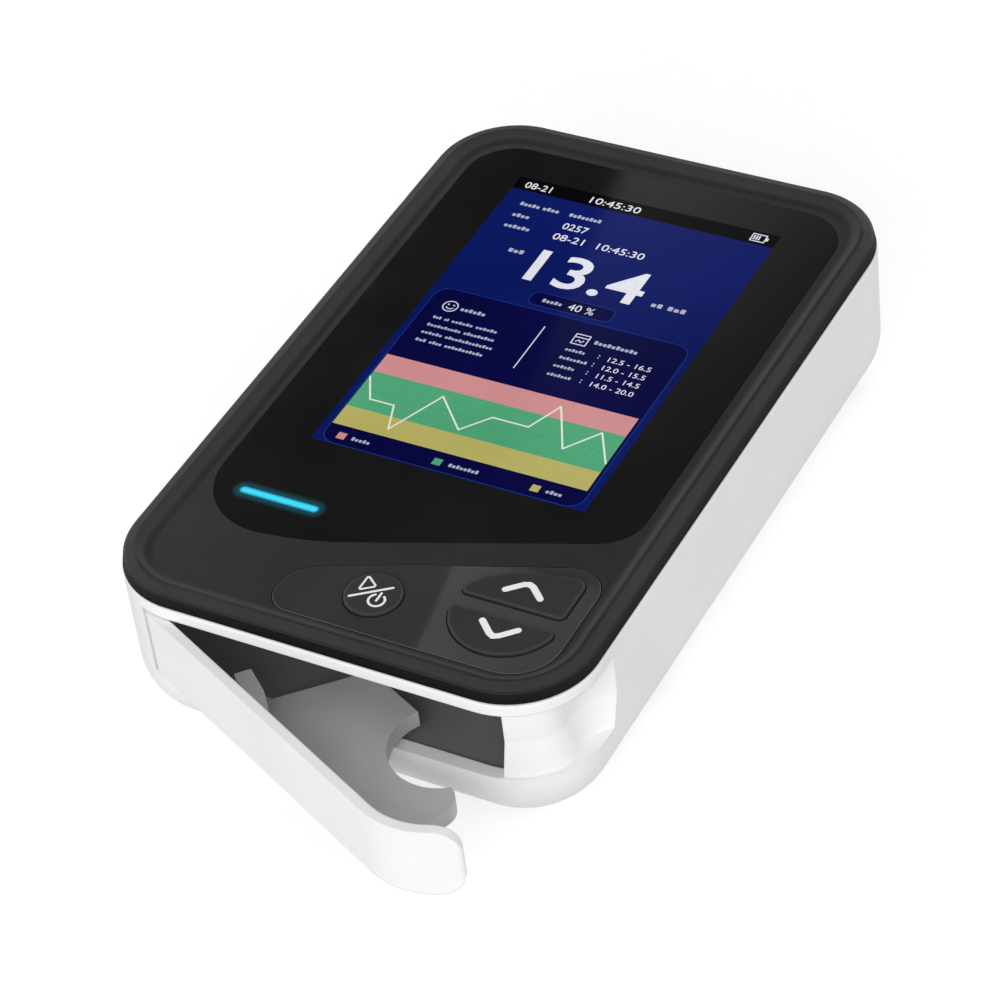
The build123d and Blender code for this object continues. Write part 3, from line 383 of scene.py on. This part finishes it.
def solder_mask():
    # Green solder mask over copper runs: a glossy film with darker gaps
    material, tree, place, shader = finish("green_solder_mask")
    runs = add(tree, "ShaderNodeTexBrick", {
        "Vector": place, "Scale": per_mm(4.0), "Mortar Size": 0.06,
        "Color1": tint("#1f6b3d"), "Color2": tint("#257446"), "Mortar": tint("#124427"),
    })
    bump = add(tree, "ShaderNodeBump", {"Height": runs.outputs["Fac"], "Distance": 0.02 * MM})
    tree.links.new(runs.outputs["Color"], shader.inputs["Base Color"])
    tree.links.new(bump.outputs["Normal"], shader.inputs["Normal"])
    shader.inputs["Roughness"].default_value = 0.3
    return material


def clear_resin(name, colour, ior):
    """Clear moulded resin or glass with a faint swirl."""
    material, tree, place, shader = finish(name)
    swirl = add(tree, "ShaderNodeTexNoise", {"Vector": place, "Scale": per_mm(1.5), "Detail": 2.0})
    bump = add(tree, "ShaderNodeBump", {"Height": swirl.outputs["Fac"], "Distance": 0.004 * MM})
    tree.links.new(bump.outputs["Normal"], shader.inputs["Normal"])
    shader.inputs["Base Color"].default_value = tint(colour)
    shader.inputs["Roughness"].default_value = 0.05
    shader.inputs["IOR"].default_value = ior
    shader.inputs["Transmission Weight"].default_value = 0.9
    return material


def lit_pixels(name, deep, pale):
    """Lit dots of the display under the smooth glass: a fine dot grid and an uneven backlight."""
    material, tree, place, shader = finish(name)
    # A real dot is 0.153 mm; the grid is drawn four times as coarse so that it shows
    cell = SCREEN_W / DOTS_ACROSS * DOTS_DRAWN_AS_ONE
    dots = add(tree, "ShaderNodeTexBrick", {
        "Vector": place, "Scale": per_mm(cell), "Mortar Size": 0.04, "Bias": 0.0,
        "Brick Width": 1.0, "Row Height": 1.0,
        "Color1": (1, 1, 1, 1), "Color2": (0.96, 0.96, 0.96, 1), "Mortar": (0.86, 0.86, 0.86, 1),
    }, offset=0.0)
    light = add(tree, "ShaderNodeTexNoise", {"Vector": place, "Scale": per_mm(30.0), "Detail": 1.0})
    lit = add(tree, "ShaderNodeVectorMath", {
        0: shade(tree, light.outputs["Fac"], deep, pale), 1: dots.outputs["Color"],
    }, operation="MULTIPLY")
    tree.links.new(lit.outputs["Vector"], shader.inputs["Emission Color"])
    shader.inputs["Emission Strength"].default_value = 1.0
    shader.inputs["Base Color"].default_value = tint("#050505")
    shader.inputs["Roughness"].default_value = 0.05
    shader.inputs["Specular IOR Level"].default_value = 0.15
    return material


def white_print():
    # Pad-printed white ink on the keys: matt, with a slightly grainy film
    return moulded("white_pad_print", "#fafafa", "#ffffff", 0.3, 0.004, (0.45, 0.6), 0.5, 0.02, 1.0)


FINISHES = {
    "white_shell": white_shell_abs(),
    "black_cover": black_cover_abs(),
    "window": window_glass(),
    "display": can_metal(),
    "light_pipe": light_pipe(),
    "key_panel": key_panel_pc(),
    "key": key_abs(),
    "dark_metal": can_metal(),
    "board": solder_mask(),
    "led": clear_resin("clear_epoxy_emitter", "#e8f2ff", 1.52),
    "bay_grey": bay_abs(),
    "magnet": nickel(),
    "optic_glass": clear_resin("ground_optical_glass", "#f4fbff", 1.52),
    "steel": steel(),
    "tray_grey": tray_abs(),
    "ribbon": ribbon_film(),
    "battery_wrap": battery_sleeve(),
    "rubber_black": rubber(),
}

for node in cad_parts.values():
    for slot in node.material_slots:
        slot.material = FINISHES[slot.material.name.split(".")[0]]


def new_piece(name, shape, finish_of, body):
    """A new piece from a bmesh, with its finish, which rides on a body."""
    bmesh.ops.recalc_face_normals(shape, faces=shape.faces)
    mesh = bpy.data.meshes.new(name)
    shape.to_mesh(mesh)
    shape.free()
    mesh.materials.append(finish_of)
    piece = bpy.data.objects.new(name, mesh)
    bpy.context.scene.collection.objects.link(piece)
    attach(piece, body)


# Plates, lines and figures that make up the new pieces
def take_in(target, mesh):
    """Adds a mesh to a bmesh and drops the mesh."""
    target.from_mesh(mesh)
    bpy.data.meshes.remove(mesh)


def plate(target, x0, x1, y0, y1, low, high, radius=0.0):
    """Adds a flat plate, with upright corners rounded."""
    part = bmesh.new()
    bmesh.ops.create_cube(part, size=1.0)
    bmesh.ops.scale(part, vec=((x1 - x0) * MM, (y1 - y0) * MM, high - low), verts=part.verts)
    middle = ((x0 + x1) / 2 * MM, (y0 + y1) / 2 * MM, (low + high) / 2)
    bmesh.ops.translate(part, vec=middle, verts=part.verts)
    if radius:
        upright = [e for e in part.edges if abs(e.verts[0].co.z - e.verts[1].co.z) > (high - low) / 2]
        bmesh.ops.bevel(part, geom=upright, offset=radius * MM, segments=6, profile=0.5,
                        affect="EDGES", material=-1, clamp_overlap=True)
    mesh = bpy.data.meshes.new("plate")
    part.to_mesh(mesh)
    part.free()
    take_in(target, mesh)


def capsule(target, start, stop, width, low, high):
    """Adds one straight piece of a line, with half-round ends."""
    heading = atan2(stop[1] - start[1], stop[0] - start[0])
    rim = []
    for (x, y), side in ((start, pi / 2), (stop, -pi / 2)):
        for step in range(ROUND_STEPS + 1):
            angle = heading + side + pi * step / ROUND_STEPS
            rim.append((x + width / 2 * cos(angle), y + width / 2 * sin(angle)))
    part = bmesh.new()
    foot = part.faces.new([part.verts.new((x * MM, y * MM, low)) for x, y in rim])
    lifted = bmesh.ops.extrude_face_region(part, geom=[foot])["geom"]
    raised = [v for v in lifted if isinstance(v, bmesh.types.BMVert)]
    bmesh.ops.translate(part, vec=(0, 0, high - low), verts=raised)
    bmesh.ops.recalc_face_normals(part, faces=part.faces)
    mesh = bpy.data.meshes.new("capsule")
    part.to_mesh(mesh)
    part.free()
    take_in(target, mesh)


def stroke(target, points, width, low, high, closed=False):
    """Adds a line of even width, its bends and ends rounded: a chain of short pieces."""
    chain = list(points) + ([points[0]] if closed else [])
    for turn, (start, stop) in enumerate(zip(chain, chain[1:])):
        # Neighbours end at three heights, so that their tops never share a plane
        capsule(target, start, stop, width, low, high + turn % 3 * STEP_UP * MM)


def figures(target, text, x, y, height, low, high, weight=0.0, width=None):
    """Adds plain figures whose lower left corner is at x, y."""
    half_depth = 0.5
    curve = bpy.data.curves.new("figures", "FONT")
    curve.body = text
    curve.extrude = half_depth
    curve.offset = weight
    curve.resolution_u = 4
    holder = bpy.data.objects.new("figures", curve)
    bpy.context.scene.collection.objects.link(holder)
    reach = bpy.context.evaluated_depsgraph_get()
    mesh = bpy.data.meshes.new_from_object(holder.evaluated_get(reach))
    bpy.data.objects.remove(holder)
    bpy.data.curves.remove(curve)
    corners = [v.co for v in mesh.vertices]
    left, right = min(c.x for c in corners), max(c.x for c in corners)
    foot, top = min(c.y for c in corners), max(c.y for c in corners)
    tall = height * MM / (top - foot)
    wide = width * MM / (right - left) if width else tall
    mesh.transform(Matrix.Translation((-left, -foot, half_depth)))
    mesh.transform(Matrix.Diagonal((wide, tall, high - low, 1)))
    mesh.transform(Matrix.Translation((x * MM, y * MM, low)))
    take_in(target, mesh)


# The lit picture
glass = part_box("display_window")[1].z
screen_low, screen_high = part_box("lcd_module")
SCREEN_AT = ((screen_low + screen_high) / 2).xy / MM
HALF_W = SCREEN_W / 2
HALF_L = SCREEN_L / 2
sunk = glass + SUNK * MM


def on_screen(points):
    """Places on the body from places on the screen."""
    return [(x + SCREEN_AT.x, y + SCREEN_AT.y) for x, y in points]


def screen_plate(target, x0, x1, y0, y1, layer, radius=0.0):
    """Adds a plate of the picture."""
    (ax, ay), (bx, by) = on_screen([(x0, y0), (x1, y1)])
    plate(target, ax, bx, ay, by, sunk, glass + layer * MM, radius)


def screen_stroke(target, points, width, layer, closed=False):
    """Adds a line of the picture."""
    stroke(target, on_screen(points), width, sunk, glass + layer * MM, closed)


def screen_frame(target, x0, x1, y0, y1):
    """Adds a thin frame of the picture."""
    screen_stroke(target, [(x0, y0), (x1, y0), (x1, y1), (x0, y1)], THIN_LINE, MARK_LAYER, closed=True)


def screen_word(target, left, right, middle, height):
    """Adds a row of small blocks where the picture has a word: no lettering is copied."""
    count = max(2, round((right - left) / (height * LETTER_W)))
    step = (right - left) / count
    foot = middle - height / 2
    for place in range(count):
        x = left + place * step
        top = foot + height * LETTER_HEIGHTS[(place + count) % len(LETTER_HEIGHTS)]
        screen_plate(target, x, x + step * LETTER_FILL, foot, top, MARK_LAYER, height * LETTER_CORNER)


def screen_figures(target, text, x, y, height, layer, **how):
    """Adds figures of the picture."""
    ((ax, ay),) = on_screen([(x, y)])
    figures(target, text, ax, ay, height, sunk, glass + layer * MM, **how)


def ring_points(x, y, radius, start, end, count):
    """Places along part of a circle, with its angles in degrees."""
    steps = [start + (end - start) * i / (count - 1) for i in range(count)]
    return [(x + radius * cos(radians(a)), y + radius * sin(radians(a))) for a in steps]


def screen_piece(name, shape, lit):
    """A finished piece of the picture."""
    new_piece(name, shape, lit, "body")


blue_field = bmesh.new()
screen_plate(blue_field, -HALF_W, HALF_W, -HALF_L, BAR_LOW, FIELD_LAYER)
screen_piece("screen_field", blue_field, lit_pixels("lit_blue_pixels", "#07165a", "#0c1a64"))

status_bar = bmesh.new()
screen_plate(status_bar, -HALF_W, HALF_W, BAR_LOW, HALF_L, FIELD_LAYER)
screen_piece("screen_status_bar", status_bar, lit_pixels("unlit_pixels", "#020203", "#050507"))

edges = bmesh.new()
panels = bmesh.new()
for x0, x1, y0, y1, corner in PANELS:
    screen_plate(edges, x0 - PANEL_EDGE, x1 + PANEL_EDGE, y0 - PANEL_EDGE, y1 + PANEL_EDGE,
                 EDGE_LAYER, corner + PANEL_EDGE)
    screen_plate(panels, x0, x1, y0, y1, PANEL_LAYER, corner)
screen_piece("screen_panel_edges", edges, lit_pixels("lit_edge_blue_pixels", "#12357c", "#173d88"))
screen_piece("screen_panels", panels, lit_pixels("lit_navy_pixels", "#05053c", "#080844"))

for piece_name, low, high, deep, pale, square in (
    ("chart_upper_band", CHART_LEVELS[2], CHART_LEVELS[3], "#c98889", "#d29292", -20.75),
    ("chart_middle_band", CHART_LEVELS[1], CHART_LEVELS[2], "#4ba073", "#55aa7d", -3.35),
    ("chart_lower_band", CHART_LEVELS[0], CHART_LEVELS[1], "#b3ab60", "#bdb56c", 14.05),
):
    band = bmesh.new()
    screen_plate(band, CHART_LEFT, CHART_RIGHT, low, high, MARK_LAYER)
    screen_plate(band, square, square + LEGEND_SIDE, LEGEND_LOW, LEGEND_LOW + LEGEND_SIDE, MARK_LAYER)
    screen_piece(piece_name, band, lit_pixels("lit_pixels_" + piece_name, deep, pale))

dashes = bmesh.new()
for step in range(DASHES):
    start = CHART_LEFT + DASH_START + step * DASH_PITCH
    foot = CHART_MIDDLE - DASH_HALF_W
    screen_plate(dashes, start, start + DASH_L, foot, foot + 2 * DASH_HALF_W, LINE_LAYER)
screen_piece("chart_middle_dashes", dashes, lit_pixels("lit_deep_green_pixels", "#3f9465", "#449a6b"))

curve_line = bmesh.new()
screen_stroke(curve_line, CHART_CURVE, 0.3, LINE_LAYER)
screen_piece("chart_curve", curve_line, lit_pixels("lit_pale_pixels", "#dfe3d6", "#e8ebdf"))

digits = bmesh.new()
screen_figures(digits, "08-21", -22.6, 34.1, FIGURE_H, MARK_LAYER)
screen_figures(digits, "10:45:30", -10.1, 34.1, FIGURE_H, MARK_LAYER, width=9.4)
screen_figures(digits, "0257", -11.3, 25.95, FIGURE_H, MARK_LAYER)
screen_figures(digits, "08-21  10:45:30", -11.6, 22.9, FIGURE_H, MARK_LAYER, width=17.0)
screen_figures(digits, "13.4", -11.35, 11.4, 8.45, MARK_LAYER, weight=0.012, width=20.9)
screen_figures(digits, "40 %", -0.6, 6.75, 1.7, MARK_LAYER)
for row, text in enumerate(("12.5 - 16.5", "12.0 - 15.5", "11.5 - 14.5", "14.0 - 20.0")):
    screen_figures(digits, text, 11.65, -2.95 - 2.17 * row, 1.15, MARK_LAYER, width=7.6)
screen_piece("screen_figures", digits, lit_pixels("lit_white_pixels", "#dfe2ee", "#e9ebf4"))

# Words: left, right, middle and height of each
WORDS = [
    (-21.0, -17.2, 29.9, 0.9), (-16.7, -13.5, 29.9, 0.9), (-11.6, -5.5, 29.9, 0.9),
    (-20.9, -17.6, 26.75, 0.9), (-20.9, -16.0, 23.7, 0.9), (-17.0, -14.0, 17.8, 1.0),
    (12.0, 14.2, 12.9, 1.1), (15.0, 18.4, 12.9, 1.1), (-5.4, -1.7, 7.6, 0.9),
    (-17.1, -12.4, 0.75, 0.9), (7.6, 15.5, 0.75, 0.9),
    (-20.5, -18.9, -2.6, 0.7), (-18.4, -17.5, -2.6, 0.7),
    (-17.0, -13.0, -2.6, 0.7), (-12.5, -8.5, -2.6, 0.7),
    (-20.5, -14.2, -4.65, 0.7), (-13.7, -8.0, -4.65, 0.7),
    (-20.5, -16.6, -6.65, 0.7), (-16.1, -7.3, -6.65, 0.7),
    (-20.5, -18.5, -8.7, 0.7), (-18.0, -15.6, -8.7, 0.7), (-15.1, -8.0, -8.7, 0.7),
    (3.85, 7.5, -2.35, 0.7), (3.85, 8.9, -4.5, 0.7),
    (3.85, 7.7, -6.65, 0.7), (3.85, 8.2, -8.9, 0.7),
    (-18.1, -14.7, -34.55, 0.8), (-0.5, 4.9, -34.55, 0.8), (16.7, 19.6, -34.55, 0.8),
]
words = bmesh.new()
for left, right, middle, height in WORDS:
    screen_word(words, left, right, middle, height)
screen_piece("screen_word_blocks", words, lit_pixels("lit_dim_white_pixels", "#a9adc4", "#b4b8cd"))


def face_mark(target, x, y):
    """Adds a round face with a smile."""
    screen_stroke(target, ring_points(x, y, 1.3, 0, 330, 23), THIN_LINE, MARK_LAYER, closed=True)
    screen_stroke(target, ring_points(x, y + 0.1, 0.75, 215, 325, 8), THIN_LINE, MARK_LAYER)
    for eye in (x - 0.5, x + 0.5):
        screen_plate(target, eye - 0.15, eye + 0.15, y + 0.2, y + 0.55, MARK_LAYER, 0.12)


def sheet_mark(target):
    """Adds a small sheet with a ruled head and a zigzag."""
    screen_frame(target, 3.9, 6.45, -0.7, 1.8)
    screen_plate(target, 4.0, 6.35, 0.95, 1.15, MARK_LAYER)
    screen_stroke(target, [(4.5, -0.1), (4.9, 0.4), (5.4, -0.1), (5.8, 0.4)], 0.18, MARK_LAYER)


def battery_mark(target):
    """Adds a battery with three full cells."""
    screen_frame(target, 19.9, 22.4, 34.15, 36.0)
    screen_plate(target, 22.5, 22.9, 34.7, 35.45, MARK_LAYER)
    for cell in (20.25, 20.7, 21.15):
        screen_plate(target, cell, cell + 0.25, 34.5, 35.65, MARK_LAYER)


def colon_marks(target):
    """Adds the two dots between the words and figures of each row."""
    for row in (-2.35, -4.5, -6.65, -8.9):
        for dot in (-0.35, 0.25):
            screen_plate(target, 9.75, 9.95, row + dot, row + dot + 0.2, MARK_LAYER)


marks = bmesh.new()
screen_stroke(marks, [(-1.9, -9.65), (-1.9, 1.5)], THIN_LINE, MARK_LAYER)
face_mark(marks, -19.1, 0.75)
sheet_mark(marks)
battery_mark(marks)
colon_marks(marks)
screen_piece("screen_marks", marks, lit_pixels("lit_mark_pixels", "#d5d9e8", "#dfe3f0"))

# Printed marks on the keys
print_finish = white_print()


def key_marks(name, key, body, lines):
    """Printed lines on one key's top: each has its places, width and whether it closes."""
    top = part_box(key)[1].z
    shape = bmesh.new()
    for points, width, closed in lines:
        stroke(shape, points, width, top - PRINT_SUNK * MM, top + PRINT_T * MM, closed)
    new_piece(name, shape, print_finish, body)


key_marks("up_key_mark", "up_button", "up_key", [
    ([(21.4, -43.25), (23.55, -41.3), (24.35, -40.98), (25.15, -41.3), (27.3, -43.25)], 1.08, False),
])
key_marks("down_key_mark", "down_button", "down_key", [
    ([(21.3, -50.5), (23.5, -52.55), (24.35, -53.0), (25.2, -52.55), (27.33, -50.5)], 1.08, False),
])
POWER_RING = (4.25, -52.6)
key_marks("power_key_marks", "power_button", "power_key", [
    ([(0.5, -48.6), (0.5, -51.2), (0.75, -51.35), (2.5, -50.1), (2.5, -49.75), (0.75, -48.45)],
     0.33, True),
    ([(-0.17, -53.3), (5.33, -49.25)], 0.4, False),
    (ring_points(*POWER_RING, 1.3, 125, 415, 24), 0.38, False),
    ([(POWER_RING[0], POWER_RING[1] - 0.1), (POWER_RING[0], POWER_RING[1] + 1.64)], 0.38, False),
])


# Studio: pale floor, white world, two soft lights, and cards that only the gloss reflects
def stage_piece(name, shape, material):
    """A piece of the studio."""
    mesh = bpy.data.meshes.new(name)
    shape.to_mesh(mesh)
    shape.free()
    mesh.materials.append(material)
    piece = bpy.data.objects.new(name, mesh)
    bpy.context.scene.collection.objects.link(piece)
    return piece


def seen_directly(tree):
    """One for rays that look straight, by a mirror or through glass, and none for light."""
    path = add(tree, "ShaderNodeLightPath")
    straight_or_mirrored = add(tree, "ShaderNodeMath", {
        0: path.outputs["Is Camera Ray"], 1: path.outputs["Is Glossy Ray"],
    }, operation="MAXIMUM")
    seen = add(tree, "ShaderNodeMath", {
        0: straight_or_mirrored.outputs[0], 1: path.outputs["Is Transmission Ray"],
    }, operation="MAXIMUM")
    return seen.outputs[0]


def studio_paper():
    # White paper: it takes the object's shadow and is lifted to white where it is looked at
    material, tree, place, shader = finish("white_studio_paper")
    fibre = add(tree, "ShaderNodeTexNoise", {"Vector": place, "Scale": per_mm(1.2), "Detail": 4.0})
    tree.links.new(shade(tree, fibre.outputs["Fac"], "#b6b6b6", "#bcbcbc"), shader.inputs["Base Color"])
    lift = add(tree, "ShaderNodeMath", {0: seen_directly(tree), 1: FLOOR_LIFT}, operation="MULTIPLY")
    tree.links.new(lift.outputs[0], shader.inputs["Emission Strength"])
    shader.inputs["Emission Color"].default_value = (1, 1, 1, 1)
    shader.inputs["Roughness"].default_value = 0.9
    shader.inputs["Specular IOR Level"].default_value = 0.0
    return material


floor_shape = bmesh.new()
bmesh.ops.create_grid(floor_shape, x_segments=1, y_segments=1, size=FLOOR_REACH)
floor_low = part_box("rubber_feet")[0].z
bmesh.ops.translate(floor_shape, vec=(0, 0, floor_low), verts=floor_shape.verts)
stage_piece("floor", floor_shape, studio_paper())

world = bpy.data.worlds.new("white_studio")
bpy.context.scene.world = world
world.use_nodes = True
sky = world.node_tree
sky.nodes.clear()
level = add(sky, "ShaderNodeMapRange", {
    "Value": seen_directly(sky), "To Min": WORLD_ON_OBJECT, "To Max": 1.0,
})
backdrop = add(sky, "ShaderNodeBackground", {"Color": (1, 1, 1, 1), "Strength": level.outputs["Result"]})
add(sky, "ShaderNodeOutputWorld", {"Surface": backdrop.outputs["Background"]})


def soft_light(name, place, power):
    """A square soft light that looks at the object and never glares in its glass."""
    data = bpy.data.lights.new(name, "AREA")
    data.size = LIGHT_SIZE
    data.energy = power
    light = bpy.data.objects.new(name, data)
    bpy.context.scene.collection.objects.link(light)
    light.location = place
    light.rotation_euler = (-Vector(place)).to_track_quat("-Z", "Y").to_euler()
    light.visible_glossy = False


soft_light("soft_key_light", KEY_LIGHT_AT, KEY_LIGHT_POWER)
soft_light("soft_side_light", SIDE_LIGHT_AT, SIDE_LIGHT_POWER)


def card_finish(name, strength, across, along):
    # Matt card that only reflections see; each fade runs from full light to none
    material = bpy.data.materials.new(name)
    material.use_nodes = True
    tree = material.node_tree
    tree.nodes.clear()
    place = add(tree, "ShaderNodeTexCoord").outputs["Object"]
    parts = add(tree, "ShaderNodeSeparateXYZ", {"Vector": place})
    level = strength
    for axis, fade in (("X", across), ("Y", along)):
        if fade:
            level = add(tree, "ShaderNodeMapRange", {
                "Value": parts.outputs[axis], "From Min": fade[1] * MM, "From Max": fade[0] * MM,
                "To Max": level,
            }).outputs["Result"]
    glow = add(tree, "ShaderNodeEmission", {"Color": (1, 1, 1, 1), "Strength": level})
    add(tree, "ShaderNodeOutputMaterial", {"Surface": glow.outputs["Emission"]})
    return material


def card(name, corners, strength=0.0, across=None, along=None):
    """A card that only reflections see, from corners in metres."""
    shape = bmesh.new()
    shape.faces.new([shape.verts.new(corner) for corner in corners])
    piece = stage_piece(name, shape, card_finish(name, strength, across, along))
    piece.visible_camera = False
    piece.visible_diffuse = False
    piece.visible_shadow = False
    piece.visible_transmission = False


def edge_at(y):
    """Where the border between the cards runs, for a distance back."""
    (x0, y0), (x1, y1) = CARD_EDGE
    return x0 + (x1 - x0) * (y - y0) / (y1 - y0)


def overhead(left, right, near, far):
    """The corners of a card over the object; a side left out follows the border."""
    places = []
    for side, y in ((left, near), (right, near), (right, far), (left, far)):
        places.append(((side or edge_at(y)) * MM, y * MM, CARD_HEIGHT * MM))
    return places


card("dark_card", overhead(CARD_LEFT, None, CARD_NEAR, CARD_FAR))
card("far_grey_card", overhead(None, CARD_RIGHT, CARD_SPLIT, CARD_FAR), FAR_CARD_LIGHT, *FAR_CARD_FADES)
card("near_grey_card", overhead(None, CARD_RIGHT, CARD_NEAR, CARD_SPLIT), NEAR_CARD_LIGHT, NEAR_CARD_FADE)
left_end, right_end = FLAG_PLACES
card("dark_flag", [(*left_end, 0.0), (*right_end, 0.0), (*right_end, FLAG_TOP), (*left_end, FLAG_TOP)])

# The photograph's camera
camera_data = bpy.data.cameras.new("camera")
camera_data.sensor_width = SENSOR_WIDTH
camera_data.lens = CAMERA_LENS
camera = bpy.data.objects.new("camera", camera_data)
bpy.context.scene.collection.objects.link(camera)
camera.matrix_world = (
    Matrix.Translation(Vector(CAMERA_AT) * MM)
    @ Matrix.Rotation(radians(CAMERA_YAW), 4, "Z")
    @ Matrix.Rotation(pi / 2 - radians(CAMERA_PITCH), 4, "X")
    @ Matrix.Rotation(radians(CAMERA_ROLL), 4, "Z")
)
bpy.context.scene.camera = camera

bpy.context.scene.view_settings.view_transform = "Standard"
